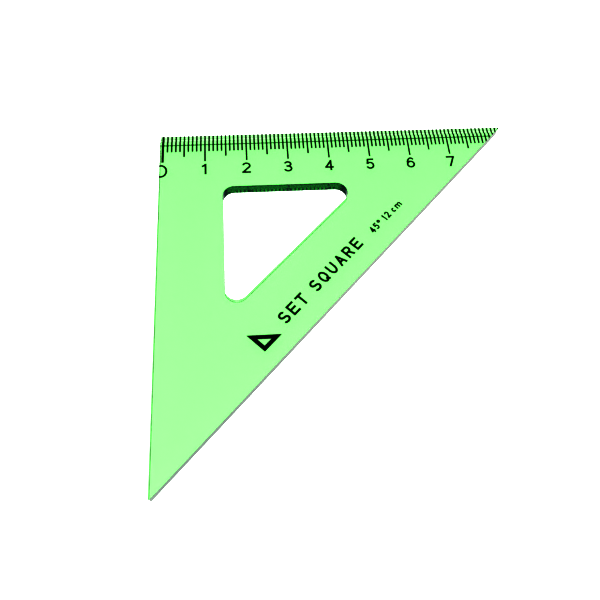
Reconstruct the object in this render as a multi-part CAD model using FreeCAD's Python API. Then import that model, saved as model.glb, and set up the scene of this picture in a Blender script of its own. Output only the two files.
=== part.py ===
import FreeCAD, Part
import math
import os

# A 45 degree set square: one clear moulded blade, and the dark ink films printed on its upper face.
# Each node is worked out in the corner frame: the right-angle corner is at X 0, Y 0, the ruling edge
# runs along +X, the short edge along -Y, and the underside is at Z 0. Every shape is then moved so
# that the origin is the middle of the blade's box, on the underside. All lengths are millimetres.

Vector = FreeCAD.Vector
ROOT2 = math.sqrt(2.0)

# Blade
LEG = 85.37               # sharp corner to sharp corner along either short side
THICKNESS = 2.8
TIP_RADIUS = 0.2          # the three outer corners are only just broken
STRIP_WIDTH = 1.7         # thinned strip that carries the scale out to the ruling edge
STRIP_DEPTH = 0.3         # how far the strip lies below the upper face
STRIP_RELIEF = 0.12       # how far it stands off whatever the blade lies on
STRIP_RAMP = 0.3          # width of the slope between the strip and the face
LEFT_BAND = 14.9          # width of the blade between the short edge and the window
TOP_BAND = 15.55          # width between the ruling edge and the window
LONG_BAND = 15.3          # width between the long edge and the window
WINDOW_RADIUS = 2.7

# Printed scale
INK = 0.03                # thickness of every ink film
ZERO_X = 0.88             # true zero of the scale, a little inside the short edge
LAST_MILLIMETRE = 84
STROKE_WIDTH = 0.4
ZERO_START = 0.5          # the zero stroke is broad: it begins almost at the short edge
MILLIMETRE_REACH = 5.05   # how far each kind of stroke reaches in from the ruling edge
HALF_REACH = 6.55
CENTIMETRE_REACH = 8.05
NUMERAL_TOP = 8.75
NUMERAL_HEIGHT = 3.1
NUMERAL_WIDTH = 2.1
NUMERAL_PEN = 0.48
NOUGHT_HEIGHT = 3.7       # the nought is larger, and the short edge cuts off its left side
NOUGHT_WIDTH = 3.1
NOUGHT_SHIFT = -0.45
NUMERAL_SHIFT = -0.15     # the numerals stand slightly left of their strokes
LAST_CENTIMETRE = 7

# Markings along the long edge; "along" is counted from the middle of the long edge, up its slope
BASELINE = 4.3            # distance of the markings' feet from the long edge
TITLE_START = -16.8
TITLE_LENGTH = 26.6
TITLE_HEIGHT = 2.9
TITLE_PEN = 0.52
SIZE_START = 13.6
SIZE_LENGTH = 10.9
SIZE_HEIGHT = 1.8
SIZE_PEN = 0.36
EMBLEM_START = -24.2
EMBLEM_LEG = 5.3
EMBLEM_PEN = 0.95
EMBLEM_ABOVE = 3.6

CLEAR = 5.0               # how far cutting tools run past the blade
OVERALL = LEG - ROOT2 * TIP_RADIUS
TO_ORIGIN = Vector(-OVERALL / 2, OVERALL / 2, 0)


def rounded_outline(corners, radius):
    """Closed wire through the corners, each rounded to the same radius."""
    arcs = []
    for index, corner in enumerate(corners):
        back = (corners[index - 1] - corner).normalize()
        ahead = (corners[(index + 1) % len(corners)] - corner).normalize()
        half = back.getAngle(ahead) / 2
        inward = (back + ahead).normalize()
        reach = radius / math.tan(half)
        crown = corner + inward * (radius / math.sin(half) - radius)
        arcs.append((corner + back * reach, crown, corner + ahead * reach))
    edges = []
    for index, arc in enumerate(arcs):
        following = arcs[(index + 1) % len(arcs)]
        edges.append(Part.Arc(*arc).toShape())
        edges.append(Part.makeLine(arc[2], following[0]))
    return Part.Wire(edges)


def prism(wire, bottom, height):
    """Straight solid on a flat closed wire drawn at Z 0."""
    solid = Part.Face(wire).extrude(Vector(0, 0, height))
    solid.translate(Vector(0, 0, bottom))
    return solid


def outer_outline():
    corners = [Vector(0, 0, 0), Vector(0, -LEG, 0), Vector(LEG, 0, 0)]
    return rounded_outline(corners, TIP_RADIUS)


def window_outline():
    slope = LEG - LONG_BAND * ROOT2       # X minus Y along the window's long wall
    corners = [
        Vector(LEFT_BAND, -TOP_BAND, 0),
        Vector(LEFT_BAND, LEFT_BAND - slope, 0),
        Vector(slope - TOP_BAND, -TOP_BAND, 0),
    ]
    return rounded_outline(corners, WINDOW_RADIUS)


def along_x(section, start, length):
    """Solid whose section is a closed list of (y, z) points, run along X."""
    points = [Vector(start, y, z) for y, z in section]
    face = Part.Face(Part.makePolygon(points + points[:1]))
    return face.extrude(Vector(length, 0, 0))


def strip_cutter(face_z, outward, depth):
    """Solid that thins the ruling edge on one face; outward is +1 on top and -1 beneath."""
    floor_z = face_z - outward * depth
    past_z = face_z + outward * CLEAR
    foot_y = -STRIP_WIDTH - STRIP_RAMP
    section = [
        (foot_y, face_z),
        (-STRIP_WIDTH, floor_z),
        (CLEAR, floor_z),
        (CLEAR, past_z),
        (foot_y, past_z),
    ]
    return along_x(section, -CLEAR, LEG + 2 * CLEAR)


def make_blade():
    blade = prism(outer_outline(), 0, THICKNESS)
    window = prism(window_outline(), -CLEAR, THICKNESS + 2 * CLEAR)
    upper_strip = strip_cutter(THICKNESS, 1, STRIP_DEPTH)
    lower_strip = strip_cutter(0, -1, STRIP_RELIEF)
    return blade.cut([window, upper_strip, lower_strip])


def stroke(start, end, reach, plan):
    """One graduation between two X positions: a film along the strip, its slope and the face."""
    low = THICKNESS - STRIP_DEPTH
    path = [
        (0, low),
        (-STRIP_WIDTH, low),
        (-STRIP_WIDTH - STRIP_RAMP, THICKNESS),
        (-reach, THICKNESS),
    ]
    upper = [(y, z + INK) for y, z in reversed(path)]
    film = along_x(path + upper, start, end - start)
    return film.common(plan)


def graduation(positions, reach, plan):
    """The strokes of one length, as a group of separate solids."""
    strokes = []
    for position in positions:
        end = ZERO_X + position + STROKE_WIDTH / 2
        start = end - STROKE_WIDTH if position else ZERO_START
        strokes.extend(stroke(start, end, reach, plan).Solids)
    return Part.makeCompound(strokes)


def bar(start, end, pen):
    """Straight pen stroke with square ends, as a flat face."""
    ahead = (end - start).normalize() * (pen / 2)
    side = Vector(-ahead.y, ahead.x, 0)
    corners = [start + side, start - side, end - side, end + side]
    return Part.Face(Part.makePolygon(corners + corners[:1]))


def bow(centre, half_width, half_height, first, last, pen):
    """Elliptical pen stroke from one angle to another in degrees, anticlockwise, as a flat face."""
    def edge(grow, begin, finish):
        wide = half_width + grow
        tall = half_height + grow
        if wide >= tall:
            ellipse = Part.Ellipse(centre, wide, tall)
            turn = 0.0
        else:
            top = centre + Vector(0, tall, 0)
            ellipse = Part.Ellipse(top, centre - Vector(wide, 0, 0), centre)
            turn = math.pi / 2
        return Part.ArcOfEllipse(ellipse, begin - turn, finish - turn).toShape()

    begin = math.radians(first)
    finish = math.radians(last)
    outer = edge(pen / 2, begin, finish)
    inner = edge(-pen / 2, begin, finish)
    if last - first >= 360:
        return Part.Face(Part.Wire([outer])).cut(Part.Face(Part.Wire([inner])))
    first_end = Part.makeLine(outer.firstVertex().Point, inner.firstVertex().Point)
    last_end = Part.makeLine(inner.lastVertex().Point, outer.lastVertex().Point)
    return Part.Face(Part.Wire(Part.__sortEdges__([outer, last_end, inner, first_end])))


def glyph_strokes(sign, w, h, pen):
    """Pen strokes of one sign whose centre lines fill a box w wide and h high."""
    over = pen / 2

    def line(x0, y0, x1, y1):
        return bar(Vector(x0 * w, y0 * h, 0), Vector(x1 * w, y1 * h, 0), pen)

    def level(x0, x1, y):
        return bar(Vector(x0 * w - over, y * h, 0), Vector(x1 * w + over, y * h, 0), pen)

    def post(x, y0, y1):
        return bar(Vector(x * w, y0 * h - over, 0), Vector(x * w, y1 * h + over, 0), pen)

    def curve(x, y, rx, ry, first, last):
        return bow(Vector(x * w, y * h, 0), rx * w, ry * h, first, last, pen)

    signs = {
        "0": lambda: [curve(0.5, 0.5, 0.5, 0.5, 0, 360)],
        "1": lambda: [post(0.66, 0, 1), line(0.70, 0.98, 0.12, 0.76)],
        "2": lambda: [curve(0.5, 0.72, 0.5, 0.28, -35, 170), line(0.93, 0.59, 0.02, 0.02),
                      level(0, 1, 0)],
        "3": lambda: [curve(0.48, 0.765, 0.44, 0.235, -90, 165), level(0.4, 0.45, 0.53),
                      curve(0.5, 0.265, 0.5, 0.265, -165, 90)],
        "4": lambda: [post(0.74, 0, 1), line(0.78, 1.02, -0.02, 0.26), level(0, 1, 0.27)],
        "5": lambda: [level(0.2, 0.92, 1), line(0.19, 1.02, 0.08, 0.47),
                      curve(0.47, 0.32, 0.5, 0.32, -160, 147)],
        "6": lambda: [curve(0.5, 0.31, 0.5, 0.31, 0, 360), curve(0.55, 0.4, 0.54, 0.6, 45, 170)],
        "7": lambda: [level(0, 1, 1), line(0.99, 1.0, 0.30, -0.1)],
        "S": lambda: [curve(0.5, 0.75, 0.46, 0.25, 25, 270), curve(0.5, 0.25, 0.5, 0.25, -155, 90)],
        "E": lambda: [post(0, 0, 1), level(0, 1, 0), level(0, 0.85, 0.52), level(0, 1, 1)],
        "T": lambda: [post(0.5, 0, 1), level(0, 1, 1)],
        "Q": lambda: [curve(0.5, 0.5, 0.5, 0.5, 0, 360), line(0.58, 0.26, 1.05, -0.06)],
        "U": lambda: [post(0, 0.5, 1), post(1, 0.5, 1), curve(0.5, 0.5, 0.5, 0.5, 180, 360)],
        "A": lambda: [line(-0.02, -0.1, 0.54, 1.1), line(1.02, -0.1, 0.46, 1.1),
                      level(0.25, 0.75, 0.33)],
        "R": lambda: [post(0, 0, 1), level(0, 0.5, 1), level(0, 0.5, 0.48),
                      curve(0.6, 0.74, 0.36, 0.26, -90, 90), line(0.5, 0.5, 1.0, -0.1)],
        "c": lambda: [curve(0.5, 0.3, 0.5, 0.3, 45, 315)],
        "m": lambda: [post(0, 0, 0.6), curve(0.25, 0.4, 0.25, 0.2, 0, 180), post(0.5, 0, 0.4),
                      curve(0.75, 0.4, 0.25, 0.2, 0, 180), post(1, 0, 0.4)],
        "degree": lambda: [curve(0.5, 0.82, 0.5, 0.18, 0, 360)],
    }
    return signs[sign]()


def glyph(sign, width, height, pen):
    """Ink film of one sign, its lower left corner at the origin of the upper face."""
    strokes = glyph_strokes(sign, width - pen, height - pen, pen)
    films = [face.extrude(Vector(0, 0, INK)) for face in strokes]
    film = films[0].fuse(films[1:]) if len(films) > 1 else films[0]
    film.translate(Vector(pen / 2, pen / 2, 0))
    film = film.common(Part.makeBox(width, height, INK)).removeSplitter()
    film.translate(Vector(0, 0, THICKNESS))
    return film


def make_numeral(number, plan):
    width = NUMERAL_WIDTH if number else NOUGHT_WIDTH
    height = NUMERAL_HEIGHT if number else NOUGHT_HEIGHT
    shift = NUMERAL_SHIFT if number else NOUGHT_SHIFT
    film = glyph(str(number), width, height, NUMERAL_PEN)
    left = ZERO_X + 10 * number + shift - width / 2
    film.translate(Vector(left, -NUMERAL_TOP - height, 0))
    return Part.makeCompound(film.common(plan).Solids)


def on_long_edge(shape, along, above):
    """Turns a shape to the long edge's slope and sets it along and above that edge."""
    middle = Vector(LEG / 2, -LEG / 2, 0)
    ahead = Vector(1, 1, 0) / ROOT2
    inward = Vector(-1, 1, 0) / ROOT2
    shape.rotate(Vector(0, 0, 0), Vector(0, 0, 1), 45)
    shape.translate(middle + ahead * along + inward * above)
    return shape


def lettering(signs, start, length, pen):
    """Row of signs spread evenly; each sign is (name, width, height), and a space has no name."""
    gap = (length - sum(width for name, width, height in signs)) / (len(signs) - 1)
    along = start
    films = []
    for name, width, height in signs:
        if name:
            film = on_long_edge(glyph(name, width, height, pen), along, BASELINE)
            films.extend(film.Solids)
        along += width + gap
    return Part.makeCompound(films)


def make_title():
    """The plain name of the instrument in even capitals."""
    letters = [(letter, 0.72 * TITLE_HEIGHT, TITLE_HEIGHT) for letter in "SETSQUARE"]
    space = ("", 0.3 * TITLE_HEIGHT, 0)
    signs = letters[:3] + [space] + letters[3:]
    return lettering(signs, TITLE_START, TITLE_LENGTH, TITLE_PEN)


def size_signs():
    digit = 0.6 * SIZE_HEIGHT
    return {
        "angle": [("4", digit, SIZE_HEIGHT), ("5", digit, SIZE_HEIGHT),
                  ("degree", 0.48 * SIZE_HEIGHT, SIZE_HEIGHT)],
        "length": [("1", 0.45 * SIZE_HEIGHT, SIZE_HEIGHT), ("2", digit, SIZE_HEIGHT),
                   ("", 0.2 * SIZE_HEIGHT, 0), ("c", 0.6 * SIZE_HEIGHT, SIZE_HEIGHT),
                   ("m", SIZE_HEIGHT, SIZE_HEIGHT)],
    }


def make_size_marking(kind):
    part_length = {"angle": 0.34, "length": 0.58}
    part_start = {"angle": 0.0, "length": 0.42}
    start = SIZE_START + part_start[kind] * SIZE_LENGTH
    return lettering(size_signs()[kind], start, part_length[kind] * SIZE_LENGTH, SIZE_PEN)


def make_emblem():
    """Plain picture of a set square: an open right-angled triangle standing on one short side."""
    inner_leg = EMBLEM_LEG - EMBLEM_PEN * (2 + ROOT2)
    films = []
    for leg, inset in ((EMBLEM_LEG, 0), (inner_leg, EMBLEM_PEN)):
        corner = Vector(inset, inset, THICKNESS)
        corners = [corner, corner + Vector(leg, 0, 0), corner + Vector(0, leg, 0)]
        face = Part.Face(Part.makePolygon(corners + corners[:1]))
        films.append(face.extrude(Vector(0, 0, INK)))
    return on_long_edge(films[0].cut(films[1]), EMBLEM_START, EMBLEM_ABOVE)


def export(name, shape):
    shape.translate(TO_ORIGIN)
    shape.exportStep("parts/" + name + ".step")
    print(name, "solids", len(shape.Solids), "volume", round(shape.Volume, 4), "valid", shape.isValid())


os.makedirs("parts", exist_ok=True)
plan = prism(outer_outline(), -CLEAR, THICKNESS + 2 * CLEAR)
counts = range(LAST_MILLIMETRE + 1)

export("blade", make_blade())
export("millimetre_marks", graduation([n for n in counts if n % 5], MILLIMETRE_REACH, plan))
export("half_centimetre_marks", graduation([n for n in counts if n % 10 == 5], HALF_REACH, plan))
export("centimetre_marks", graduation([n for n in counts if n % 10 == 0], CENTIMETRE_REACH, plan))
for number in range(LAST_CENTIMETRE + 1):
    export("numeral_" + str(number), make_numeral(number, plan))
export("angle_marking", make_size_marking("angle"))
export("length_marking", make_size_marking("length"))
export("title_marking", make_title())
export("triangle_emblem", make_emblem())
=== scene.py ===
"""Looks for a transparent 45 degree set square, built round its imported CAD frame."""

import math

import bpy
from mathutils import Matrix, Vector
from mathutils.geometry import tessellate_polygon


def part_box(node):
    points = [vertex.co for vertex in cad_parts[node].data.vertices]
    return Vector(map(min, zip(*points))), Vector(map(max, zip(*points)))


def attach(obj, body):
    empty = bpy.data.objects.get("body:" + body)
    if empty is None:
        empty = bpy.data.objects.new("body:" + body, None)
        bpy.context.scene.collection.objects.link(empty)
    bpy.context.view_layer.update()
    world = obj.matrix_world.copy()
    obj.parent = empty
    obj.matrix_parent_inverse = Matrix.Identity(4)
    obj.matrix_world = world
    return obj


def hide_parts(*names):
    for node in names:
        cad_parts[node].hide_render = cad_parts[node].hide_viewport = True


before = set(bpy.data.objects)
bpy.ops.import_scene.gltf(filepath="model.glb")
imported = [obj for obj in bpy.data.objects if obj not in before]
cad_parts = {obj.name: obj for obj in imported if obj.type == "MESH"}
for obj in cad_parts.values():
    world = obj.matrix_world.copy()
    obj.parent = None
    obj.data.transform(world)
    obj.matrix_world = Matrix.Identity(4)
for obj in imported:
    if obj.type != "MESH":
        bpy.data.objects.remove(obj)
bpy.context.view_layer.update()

bl_info = {
    "name": "Set Square",
    "version": (1, 0, 0),
    "blender": (4, 5, 0),
    "location": "3D View > Sidebar > Set Square",
    "description": "Builds a tinted transparent set square with its printed scale, and its studio",
    "category": "Object",
}

BLADE_LOW, BLADE_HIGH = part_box("blade")

MM = 0.001
ROOT2 = math.sqrt(2.0)

# what each face of the blade holds in its attribute edge_kind; the other walls hold the blade's wall
# setting, which sets how dull they are and how much painted shade they take
POLISHED_FACE = 0.0
RULING_WALL = 1.0
STRIP_SLOPE = 2.0

# Fresnel reflection at which a wall's painted grey reflection starts, and at which it is painted grey
# all over
GREY_STARTS = 0.15
GREY_FULL = 0.35

# sides that a rounding is drawn with
EDGE_STEPS = 5
TIP_STEPS = 8
WINDOW_STEPS = 32

SNAP = 0.01  # mm, within which a point lies on a level
STRAIGHT = 1.0  # mm, the least length of a straight side; the sides of a rounding are shorter
FACES_RULING = 0.99  # least Y of the outward normal of the ruling edge's wall

CARD_SIZE = 6.0  # metres, so that the card reaches past every view
CARD_GAP = 0.05  # mm under the blade, so that the two surfaces don't coincide


# ---------------------------------------------------------------- colours and nodes

def linear(hex_colour):
    """Linear RGB of an sRGB colour written as six hex digits."""
    channels = [int(hex_colour[i:i + 2], 16) / 255 for i in (0, 2, 4)]
    return [c / 12.92 if c <= 0.04045 else ((c + 0.055) / 1.055) ** 2.4 for c in channels]


def rgba(hex_colour):
    return (*linear(hex_colour), 1.0)


def add(tree, kind, settings=None, links=None, **values):
    """Adds a node. settings are its attributes and values its input sockets by name; links give the
    source of an input, by the input's name or number."""
    node = tree.nodes.new(kind)
    for name, value in (settings or {}).items():
        setattr(node, name, value)
    for name, value in values.items():
        node.inputs[name.replace("_", " ")].default_value = value
    for name, source in (links or {}).items():
        tree.links.new(source, node.inputs[name])
    return node


def new_material(name):
    material = bpy.data.materials.new(name)
    material.use_nodes = True
    material.node_tree.nodes.clear()
    return material, material.node_tree


def per_metre(size_mm):
    """Texture scale that makes one pattern cell of this size."""
    return 1.0 / (size_mm * MM)


def polished_face(tree, settings):
    """Faces moulded against polished steel: clear, with slow waves where the plastic shrank and a
    faint handling haze."""
    place = add(tree, "ShaderNodeTexCoord").outputs["Object"]
    waviness = add(tree, "ShaderNodeTexNoise", links={"Vector": place},
                   Scale=per_metre(settings.sink_size), Detail=1.0)
    waves = add(tree, "ShaderNodeBump", links={"Height": waviness.outputs["Fac"]},
                Strength=0.2, Distance=settings.sink_depth * MM)
    haze = add(tree, "ShaderNodeTexNoise", links={"Vector": place},
               Scale=per_metre(settings.haze_size), Detail=3.0)
    polish = add(tree, "ShaderNodeMapRange", links={"Value": haze.outputs["Fac"]},
                 From_Min=0.45, From_Max=0.8, To_Min=settings.polish, To_Max=settings.polish * 3)
    # the faces' reflection is painted dark green, dimmer than the bare plastic's
    clear = add(tree, "ShaderNodeBsdfPrincipled",
                links={"Normal": waves.outputs["Normal"], "Roughness": polish.outputs["Result"]},
                Base_Color=(1, 1, 1, 1), Transmission_Weight=1.0, IOR=settings.ior,
                Specular_Tint=rgba(settings.gleam))
    return clear.outputs["BSDF"]


def duller_wall_painted_shade(tree, settings, kind):
    """Walls and the strip's slope, cut into the mould and left duller than its faces. Their reflection
    is painted: grey-teal seen square on and grey at a glancing angle. The slope's refraction is
    painted darker green, a painted shade that draws a dark line, and the walls other than the
    ruling edge's take part of that painted shade."""
    on_slope = add(tree, "ShaderNodeMapRange", links={"Value": kind},
                   From_Min=RULING_WALL, From_Max=STRIP_SLOPE)
    # painted shade: clear on the ruling wall, darker green on the slope to draw its dark line, and
    # part of that on the other walls
    painted_shade_ramp = add(tree, "ShaderNodeValToRGB", links={"Fac": on_slope.outputs["Result"]})
    painted_shade_ramp.color_ramp.elements[0].color = (1, 1, 1, 1)
    painted_shade_ramp.color_ramp.elements[1].color = rgba(settings.slope_painted_shade)
    passed = add(tree, "ShaderNodeBsdfRefraction", links={"Color": painted_shade_ramp.outputs["Color"]},
                 Roughness=settings.polish, IOR=settings.ior)
    graze = add(tree, "ShaderNodeFresnel", IOR=settings.ior).outputs["Fac"]
    # painted reflection: grey-teal seen square on, grey at a glancing angle
    gleam = add(tree, "ShaderNodeValToRGB", links={"Fac": graze})
    gleam.color_ramp.elements[0].position = GREY_STARTS
    gleam.color_ramp.elements[0].color = rgba(settings.wall_face)
    gleam.color_ramp.elements[1].position = GREY_FULL
    gleam.color_ramp.elements[1].color = rgba(settings.wall_gleam)
    shine = add(tree, "ShaderNodeBsdfAnisotropic", links={"Color": gleam.outputs["Color"]},
                Roughness=0.1)
    share = add(tree, "ShaderNodeMapRange", links={"Value": graze}, From_Min=GREY_STARTS,
                From_Max=GREY_FULL, To_Min=GREY_STARTS, To_Max=settings.wall_shine)
    wall = add(tree, "ShaderNodeMixShader", links={
        "Fac": share.outputs["Result"], 1: passed.outputs["BSDF"], 2: shine.outputs["BSDF"]})
    return wall.outputs["Shader"]


def tinted_plastic(settings):
    """Clear polystyrene with a light green dye, injected into a polished mould. The dye gives the
    eye pale green through the thickness and deep green through the length of the blade. Seen from
    outside, every wall takes the painted grey reflection. Seen from inside, the ruling edge's wall
    is as clear as the faces, and the other walls are partly dull and take a share of the painted
    shade and painted grey reflection."""
    material, tree = new_material("tinted_clear_polystyrene_moulded")
    kind = add(tree, "ShaderNodeAttribute", {"attribute_name": "edge_kind"}).outputs["Fac"]
    inside = add(tree, "ShaderNodeNewGeometry").outputs["Backfacing"]
    # share of the dull wall, with its painted shade and painted grey reflection, laid over the clear
    # face
    dull_and_shaded = add(tree, "ShaderNodeMath", {"operation": "SUBTRACT", "use_clamp": True},
               links={0: kind, 1: inside})
    surface = add(tree, "ShaderNodeMixShader", links={
        "Fac": dull_and_shaded.outputs["Value"], 1: polished_face(tree, settings),
        2: duller_wall_painted_shade(tree, settings, kind)})
    dye = add(tree, "ShaderNodeVolumeAbsorption",
              Color=rgba(settings.tint), Density=settings.dye_density)
    add(tree, "ShaderNodeOutputMaterial",
        links={"Surface": surface.outputs["Shader"], "Volume": dye.outputs["Volume"]})
    return material


def printed_ink(settings):
    """Pad-printed dark ink, laid down as one thin film. It gives the eye an almost black, slightly
    uneven matt surface with fine pinholes of lighter coverage."""
    material, tree = new_material("pad_printed_ink")
    place = add(tree, "ShaderNodeTexCoord").outputs["Object"]
    coverage = add(tree, "ShaderNodeTexNoise", links={"Vector": place},
                   Scale=per_metre(settings.ink_grain), Detail=4.0)
    shade = add(tree, "ShaderNodeValToRGB", links={"Fac": coverage.outputs["Fac"]})
    shade.color_ramp.elements[0].position = 0.35
    shade.color_ramp.elements[0].color = rgba(settings.ink_dark)
    shade.color_ramp.elements[1].position = 0.8
    shade.color_ramp.elements[1].color = rgba(settings.ink_light)
    grain = add(tree, "ShaderNodeBump", links={"Height": coverage.outputs["Fac"]},
                Strength=0.3, Distance=0.004 * MM)
    surface = add(tree, "ShaderNodeBsdfPrincipled",
                  links={"Base Color": shade.outputs["Color"], "Normal": grain.outputs["Normal"]},
                  Roughness=0.55, IOR=1.5, Specular_IOR_Level=settings.ink_sheen)
    add(tree, "ShaderNodeOutputMaterial", links={"Surface": surface.outputs["BSDF"]})
    return material


def lit_card(settings):
    """White card on a light table, lit from below: matt, with only a trace of surface grain. It
    gives the eye an even white, and no shadow of the print."""
    material, tree = new_material("matt_white_card")
    place = add(tree, "ShaderNodeTexCoord").outputs["Object"]
    fibres = add(tree, "ShaderNodeTexNoise", links={"Vector": place}, Scale=per_metre(1.5))
    bump = add(tree, "ShaderNodeBump", links={"Height": fibres.outputs["Fac"]},
               Strength=0.1, Distance=0.01 * MM)
    surface = add(tree, "ShaderNodeBsdfPrincipled", links={"Normal": bump.outputs["Normal"]},
                  Base_Color=rgba(settings.card), Roughness=0.9, IOR=1.45,
                  Emission_Color=rgba(settings.card), Emission_Strength=settings.card_light)
    add(tree, "ShaderNodeOutputMaterial", links={"Surface": surface.outputs["BSDF"]})
    return material


# ---------------------------------------------------------------- blade mesh

def rounded_corners(corners, radius, steps):
    """Samples (point, outward normal) round a closed anticlockwise outline with rounded corners.
    corners are 2D vectors in millimetres."""
    samples = []
    count = len(corners)
    for index, corner in enumerate(corners):
        back = (corners[index - 1] - corner).normalized()
        ahead = (corners[(index + 1) % count] - corner).normalized()
        half = back.angle(ahead) / 2
        centre = corner + (back + ahead).normalized() * (radius / math.sin(half))
        start_normal = Vector((-back.y, back.x))
        turn = math.pi - 2 * half
        for step in range(steps + 1):
            angle = turn * step / steps
            normal = Matrix.Rotation(angle, 2) @ start_normal
            samples.append((centre + normal * radius, normal))
    return samples


class BladePlan:
    """The blade's outlines, in millimetres, measured from its right-angle corner."""

    def __init__(self, settings):
        self.settings = settings
        wide = (BLADE_HIGH.x - BLADE_LOW.x) / MM
        self.leg = wide + ROOT2 * settings.tip_radius
        self.thickness = (BLADE_HIGH.z - BLADE_LOW.z) / MM
        self.corner = Vector((BLADE_LOW.x, BLADE_HIGH.y, BLADE_LOW.z))

    def world(self, x, y, z):
        return self.corner + Vector((x, y, z)) * MM

    def outer(self):
        """Anticlockwise, seen from above: right-angle corner, lower tip, right tip."""
        corners = [Vector((0, 0)), Vector((0, -self.leg)), Vector((self.leg, 0))]
        return rounded_corners(corners, self.settings.tip_radius, TIP_STEPS)

    def window(self):
        """The hole's outline, also anticlockwise; reach is where its long side, drawn on,
        would cut the legs."""
        left, top = self.settings.left_band, self.settings.top_band
        reach = self.leg - self.settings.long_band * ROOT2
        corners = [Vector((left, -top)), Vector((left, left - reach)), Vector((reach - top, -top))]
        return rounded_corners(corners, self.settings.window_radius, WINDOW_STEPS)

    def strip_share(self, y):
        """0 on the faces, 1 on the strip beside the ruling edge, and between them on its slope."""
        settings = self.settings
        share = (y + settings.strip_width + settings.strip_slope) / settings.strip_slope
        return min(max(share, 0.0), 1.0)


def edge_profile(radius, steps):
    """Quarter round from the face to the wall, in rows of (inset, drop, turn of the normal)."""
    rows = []
    for step in range(steps + 1):
        angle = math.pi / 2 * step / steps
        rows.append((radius * (1 - math.sin(angle)), radius * (1 - math.cos(angle)), angle))
    return rows


def split_at_levels(samples, levels):
    """Adds samples where a straight stretch of the outline crosses one of these Y levels."""
    result = []
    count = len(samples)
    for index, (point, normal) in enumerate(samples):
        result.append((point, normal))
        following, following_normal = samples[(index + 1) % count]
        if (following - point).length < STRAIGHT:
            continue
        crossings = []
        for level in levels:
            share = (level - point.y) / (following.y - point.y) if following.y != point.y else -1
            if 0.0 < share < 1.0:
                crossings.append(share)
        for share in sorted(crossings):
            result.append((point.lerp(following, share), normal.lerp(following_normal, share)))
    return result


class MeshWriter:
    """Collects vertices and faces whose corners carry their own exact normals."""

    def __init__(self):
        self.points = []
        self.faces = []
        self.normals = []
        self.kinds = []

    def vertex(self, point):
        self.points.append(tuple(point))
        return len(self.points) - 1

    def face(self, corners, normals, kind=POLISHED_FACE):
        self.faces.append(corners)
        self.normals.extend(normals)
        self.kinds.append(kind)

    def build(self, name):
        mesh = bpy.data.meshes.new(name)
        mesh.from_pydata(self.points, [], self.faces)
        mesh.polygons.foreach_set("use_smooth", [True] * len(mesh.polygons))
        mesh.normals_split_custom_set(self.normals)
        mesh.attributes.new("edge_kind", "FLOAT", "FACE").data.foreach_set("value", self.kinds)
        mesh.update()
        piece = bpy.data.objects.new(name, mesh)
        bpy.context.scene.collection.objects.link(piece)
        return piece


def wall_kind(settings, row, normal):
    """What the quads under one row of the profile are: the rounding of the upper edge is polished
    with the face, and all below it is wall."""
    if row < EDGE_STEPS:
        return POLISHED_FACE
    return RULING_WALL if normal.y > FACES_RULING else settings.wall_dull_and_shade_share


def wall_rings(writer, plan, samples, stepped):
    """Walls round one outline: the upper edge's rounding, the wall and the lower edge's rounding.
    Returns the rings of vertices, from the upper face to the underside. Where the outline is
    stepped, the walls follow the strip's height."""
    settings = plan.settings
    rows = edge_profile(settings.edge_radius, EDGE_STEPS)
    profile = [(inset, drop, angle, 1) for inset, drop, angle in rows]
    profile += [(inset, drop, angle, -1) for inset, drop, angle in reversed(rows)]
    rings, normals = [], []
    for inset, drop, angle, side in profile:
        ring, ring_normals = [], []
        for point, normal in samples:
            share = plan.strip_share(point.y) if stepped else 0.0
            place = point - normal * inset
            if side > 0:
                z = plan.thickness - settings.strip_depth * share - drop + settings.face_lift
            else:
                z = settings.strip_relief * share + drop
            ring.append(writer.vertex(plan.world(place.x, place.y, z)))
            wall = Vector((normal.x, normal.y, 0.0)).normalized() * math.sin(angle)
            ring_normals.append(wall + Vector((0, 0, side * math.cos(angle))))
        rings.append(ring)
        normals.append(ring_normals)
    for row in range(len(rings) - 1):
        upper, lower = rings[row], rings[row + 1]
        count = len(upper)
        for i in range(count):
            j = (i + 1) % count
            writer.face([upper[i], lower[i], lower[j], upper[j]],
                        [normals[row][i], normals[row + 1][i],
                         normals[row + 1][j], normals[row][j]],
                        wall_kind(settings, row, samples[i][1]))
    return rings


def fill_loops(writer, loops, up):
    """Flat face between closed loops of vertices, the later loops being holes."""
    flat = [[Vector(writer.points[index]) / MM for index in loop] for loop in loops]
    order = [index for loop in loops for index in loop]
    for triangle in tessellate_polygon(flat):
        corners = [order[corner] for corner in triangle]
        p, q, r = (Vector(writer.points[corner]) for corner in corners)
        if (q - p).cross(r - p).z * up < 0:
            corners.reverse()
        writer.face(corners, [(0, 0, up)] * 3)


def running_order(indices, count):
    """Puts neighbouring places of a closed ring in order, starting after the gap."""
    chosen = set(indices)
    first = next(i for i in indices if (i - 1) % count not in chosen)
    return [(first + step) % count for step in range(len(indices))]


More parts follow.
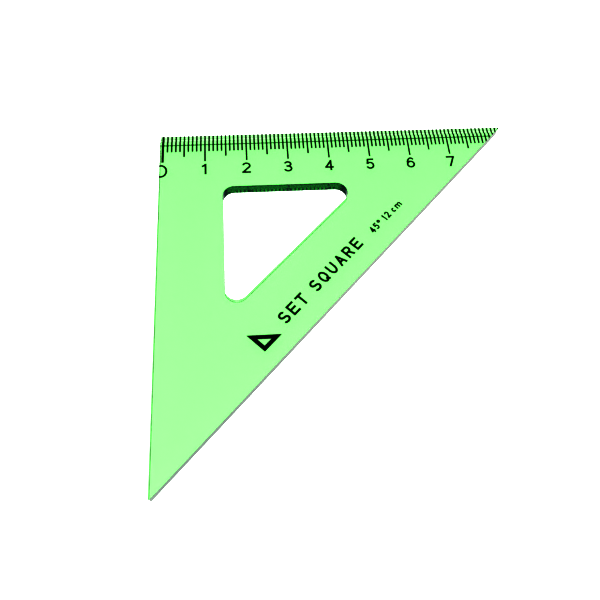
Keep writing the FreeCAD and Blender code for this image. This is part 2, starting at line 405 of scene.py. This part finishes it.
def build_blade(settings):
    plan = BladePlan(settings)
    writer = MeshWriter()
    strip_start = -settings.strip_width
    slope_start = strip_start - settings.strip_slope
    outer = split_at_levels(plan.outer(), [slope_start, strip_start])
    window = [(point, -normal) for point, normal in reversed(plan.window())]
    outer_rings = wall_rings(writer, plan, outer, True)
    window_rings = wall_rings(writer, plan, window, False)

    # round the outline, the strip runs from the long edge to the short edge, and the body back again
    heights = [point.y for point, normal in outer]
    strip = running_order([i for i, y in enumerate(heights) if y > strip_start - SNAP], len(outer))
    body = running_order([i for i, y in enumerate(heights) if y < slope_start + SNAP], len(outer))
    for side, row, depth in ((1, 0, settings.strip_depth), (-1, -1, settings.strip_relief)):
        ring = outer_rings[row]
        fill_loops(writer, [[ring[i] for i in strip]], side)
        fill_loops(writer, [[ring[i] for i in body], window_rings[row]], side)
        slope = [ring[body[-1]], ring[strip[0]], ring[strip[-1]], ring[body[0]]]
        if side < 0:
            slope.reverse()
        normal = Vector((0, depth, side * settings.strip_slope)).normalized()
        writer.face(slope, [normal] * 4, STRIP_SLOPE)
    return writer.build("moulded_blade")


# ---------------------------------------------------------------- settings

class SETSQUARE_PG_blade(bpy.types.PropertyGroup):
    """Sizes of the moulded blade, in millimetres, and the looks of its plastic."""
    left_band: bpy.props.FloatProperty(
        name="Left band", description="Blade width beside the short edge, mm", default=14.9)
    top_band: bpy.props.FloatProperty(
        name="Top band", description="Blade width beside the ruling edge, mm", default=15.55)
    long_band: bpy.props.FloatProperty(
        name="Long band", description="Blade width beside the long edge, mm", default=15.3)
    window_radius: bpy.props.FloatProperty(
        name="Window radius", description="Radius of the window's corners, mm", default=2.7)
    tip_radius: bpy.props.FloatProperty(
        name="Tip radius", description="Radius of the outer corners, mm", default=0.2)
    strip_width: bpy.props.FloatProperty(
        name="Strip width", description="Width of the thinned ruling strip, mm", default=1.7)
    strip_depth: bpy.props.FloatProperty(
        name="Strip depth", description="How far the strip is sunk in the upper face, mm", default=0.3)
    strip_relief: bpy.props.FloatProperty(
        name="Strip relief", description="How far the strip stands off the card, mm", default=0.12)
    strip_slope: bpy.props.FloatProperty(
        name="Strip slope", description="Width of the slope beside the strip, mm", default=0.3)
    edge_radius: bpy.props.FloatProperty(
        name="Edge radius", description="Rounding of every moulded edge, mm", default=0.1)
    face_lift: bpy.props.FloatProperty(
        name="Face lift", description="Upper face raised into the ink, mm", default=0.01)
    polish: bpy.props.FloatProperty(
        name="Polish", description="Roughness of the polished faces", default=0.02)
    haze_size: bpy.props.FloatProperty(
        name="Haze size", description="Size of the patches of handling haze, mm", default=9.0)
    sink_size: bpy.props.FloatProperty(
        name="Sink size", description="Width of the moulding's slow waves, mm", default=12.0)
    sink_depth: bpy.props.FloatProperty(
        name="Sink depth", description="Depth of the moulding's slow waves, mm", default=0.02)
    ior: bpy.props.FloatProperty(
        name="Refraction", description="Refractive index of polystyrene", default=1.59)
    tint: bpy.props.StringProperty(
        name="Tint", description="Dye colour as sRGB hex", default="A0EC9A")
    dye_density: bpy.props.FloatProperty(
        name="Dye density", description="Strength of the dye per metre", default=440.0)
    # painted reflection: the faces' reflection, darkened and tinted green
    gleam: bpy.props.StringProperty(
        name="Gleam", description="Colour of what the faces reflect, sRGB hex", default="206030")
    # sets how dull the other walls are and how much of the painted shade and painted grey reflection
    # they take
    wall_dull_and_shade_share: bpy.props.FloatProperty(
        name="Wall dulling", description="1 if clear from inside, 2 if as dull as the strip's slope",
        default=1.25)
    # painted shade: the darker green that draws the dark line along the strip's slope
    slope_painted_shade: bpy.props.StringProperty(
        name="Slope tint", description="What the strip's slope lets through, sRGB hex",
        default="78AC78")
    wall_shine: bpy.props.FloatProperty(
        name="Wall shine", description="Share that the walls reflect at a glancing angle", default=1.0)
    # painted reflection: what the walls reflect is painted grey at a glancing angle and grey-teal
    # square on
    wall_gleam: bpy.props.StringProperty(
        name="Wall gleam", description="What the walls reflect at a glancing angle, sRGB hex",
        default="9A9C99")
    wall_face: bpy.props.StringProperty(
        name="Wall face", description="What the walls reflect seen square on, sRGB hex",
        default="6E9A94")


class SETSQUARE_PG_print(bpy.types.PropertyGroup):
    """Finish of the printed ink."""
    ink_dark: bpy.props.StringProperty(
        name="Ink", description="Full coverage, sRGB hex", default="082008")
    ink_light: bpy.props.StringProperty(
        name="Thin ink", description="Thin coverage, sRGB hex", default="244C24")
    ink_grain: bpy.props.FloatProperty(
        name="Ink grain", description="Size of the uneven patches, mm", default=0.12)
    ink_sheen: bpy.props.FloatProperty(
        name="Ink sheen", description="Strength of the dry ink's sheen", default=0.0)


class SETSQUARE_PG_studio(bpy.types.PropertyGroup):
    """Card, light and camera."""
    card: bpy.props.StringProperty(
        name="Card", description="Card colour as sRGB hex", default="F4F4F4")
    card_light: bpy.props.FloatProperty(
        name="Card light", description="Light that comes up through the card", default=1.45)
    sky: bpy.props.FloatProperty(
        name="Tent light", description="Strength of the white light tent", default=1.25)
    gamma: bpy.props.FloatProperty(
        name="Gamma", description="Below 1 gives a picture of higher contrast", default=0.4)
    lens: bpy.props.FloatProperty(
        name="Lens", description="Focal length, mm", default=35.6)
    elevation: bpy.props.FloatProperty(
        name="Elevation", description="Camera height above the card", subtype="ANGLE",
        default=math.radians(64.99))
    azimuth: bpy.props.FloatProperty(
        name="Azimuth", description="Camera turn to the left of square on", subtype="ANGLE",
        default=math.radians(9.046))
    roll: bpy.props.FloatProperty(
        name="Roll", description="Camera roll, anticlockwise", subtype="ANGLE",
        default=math.radians(5.516))
    distance: bpy.props.FloatProperty(
        name="Distance", description="Camera to target", unit="LENGTH", default=0.1312)
    target_x: bpy.props.FloatProperty(
        name="Target X", description="Aimed point on the card", unit="LENGTH", default=-0.011238)
    target_y: bpy.props.FloatProperty(
        name="Target Y", description="Aimed point on the card", unit="LENGTH", default=-0.002029)


# ---------------------------------------------------------------- operators

class SETSQUARE_OT_blade(bpy.types.Operator):
    """Builds the moulded blade with rounded edges and its stepped ruling edge"""
    bl_idname = "setsquare.blade"
    bl_label = "Moulded blade"

    def execute(self, context):
        settings = context.scene.setsquare_blade
        blade = build_blade(settings)
        blade.data.materials.append(tinted_plastic(settings))
        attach(blade, "root")
        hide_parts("blade")
        return {"FINISHED"}


class SETSQUARE_OT_print(bpy.types.Operator):
    """Inks the printed scale, numerals and markings"""
    bl_idname = "setsquare.print"
    bl_label = "Printed ink"

    def execute(self, context):
        ink = printed_ink(context.scene.setsquare_print)
        for name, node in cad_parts.items():
            if name != "blade":
                node.data.materials.clear()
                node.data.materials.append(ink)
        return {"FINISHED"}


class SETSQUARE_OT_studio(bpy.types.Operator):
    """Lays the lit white card, and sets the light tent and the camera"""
    bl_idname = "setsquare.studio"
    bl_label = "Studio"

    def execute(self, context):
        settings = context.scene.setsquare_studio
        lay_card(settings)
        light_tent(settings)
        set_camera(settings)
        return {"FINISHED"}


def lay_card(settings):
    half = CARD_SIZE / 2
    z = BLADE_LOW.z - CARD_GAP * MM
    mesh = bpy.data.meshes.new("card")
    corners = [(-half, -half, z), (half, -half, z), (half, half, z), (-half, half, z)]
    mesh.from_pydata(corners, [], [(0, 1, 2, 3)])
    card = bpy.data.objects.new("card", mesh)
    bpy.context.scene.collection.objects.link(card)
    card.data.materials.append(lit_card(settings))


def light_tent(settings):
    world = bpy.data.worlds.new("light_tent")
    bpy.context.scene.world = world
    world.use_nodes = True
    tree = world.node_tree
    tree.nodes.clear()
    glow = add(tree, "ShaderNodeBackground", Color=(1, 1, 1, 1), Strength=settings.sky)
    add(tree, "ShaderNodeOutputWorld", links={"Surface": glow.outputs["Background"]})
    scene = bpy.context.scene
    scene.view_settings.view_transform = "Standard"
    scene.view_settings.look = "None"
    scene.view_settings.gamma = settings.gamma


def set_camera(settings):
    flat = math.cos(settings.elevation)
    back = Vector((-math.sin(settings.azimuth) * flat, -math.cos(settings.azimuth) * flat,
                   math.sin(settings.elevation)))
    target = Vector((settings.target_x, settings.target_y, 0.0))
    data = bpy.data.cameras.new("camera")
    data.sensor_width = 36.0
    data.lens = settings.lens
    data.clip_start = 0.005
    camera = bpy.data.objects.new("camera", data)
    camera.location = target + back * settings.distance
    aim = (-back).to_track_quat("-Z", "Y").to_matrix().to_4x4()
    turned = aim @ Matrix.Rotation(settings.roll, 4, "Z")
    camera.rotation_euler = turned.to_euler()
    bpy.context.scene.collection.objects.link(camera)
    bpy.context.scene.camera = camera


class SETSQUARE_PT_panel(bpy.types.Panel):
    """Lists the builders in the sidebar"""
    bl_idname = "SETSQUARE_PT_panel"
    bl_label = "Set Square"
    bl_space_type = "VIEW_3D"
    bl_region_type = "UI"
    bl_category = "Set Square"

    def draw(self, context):
        scene = context.scene
        for settings, operator in (
            (scene.setsquare_blade, SETSQUARE_OT_blade),
            (scene.setsquare_print, SETSQUARE_OT_print),
            (scene.setsquare_studio, SETSQUARE_OT_studio),
        ):
            column = self.layout.column()
            for name in settings.__annotations__:
                column.prop(settings, name)
            column.operator(operator.bl_idname)


CLASSES = (
    SETSQUARE_PG_blade,
    SETSQUARE_PG_print,
    SETSQUARE_PG_studio,
    SETSQUARE_OT_blade,
    SETSQUARE_OT_print,
    SETSQUARE_OT_studio,
    SETSQUARE_PT_panel,
)


def register():
    for cls in CLASSES:
        bpy.utils.register_class(cls)
    bpy.types.Scene.setsquare_blade = bpy.props.PointerProperty(type=SETSQUARE_PG_blade)
    bpy.types.Scene.setsquare_print = bpy.props.PointerProperty(type=SETSQUARE_PG_print)
    bpy.types.Scene.setsquare_studio = bpy.props.PointerProperty(type=SETSQUARE_PG_studio)


def unregister():
    del bpy.types.Scene.setsquare_blade
    del bpy.types.Scene.setsquare_print
    del bpy.types.Scene.setsquare_studio
    for cls in reversed(CLASSES):
        bpy.utils.unregister_class(cls)


def main():
    register()
    bpy.ops.setsquare.blade()
    bpy.ops.setsquare.print()
    bpy.ops.setsquare.studio()


if __name__ == "__main__":
    main()
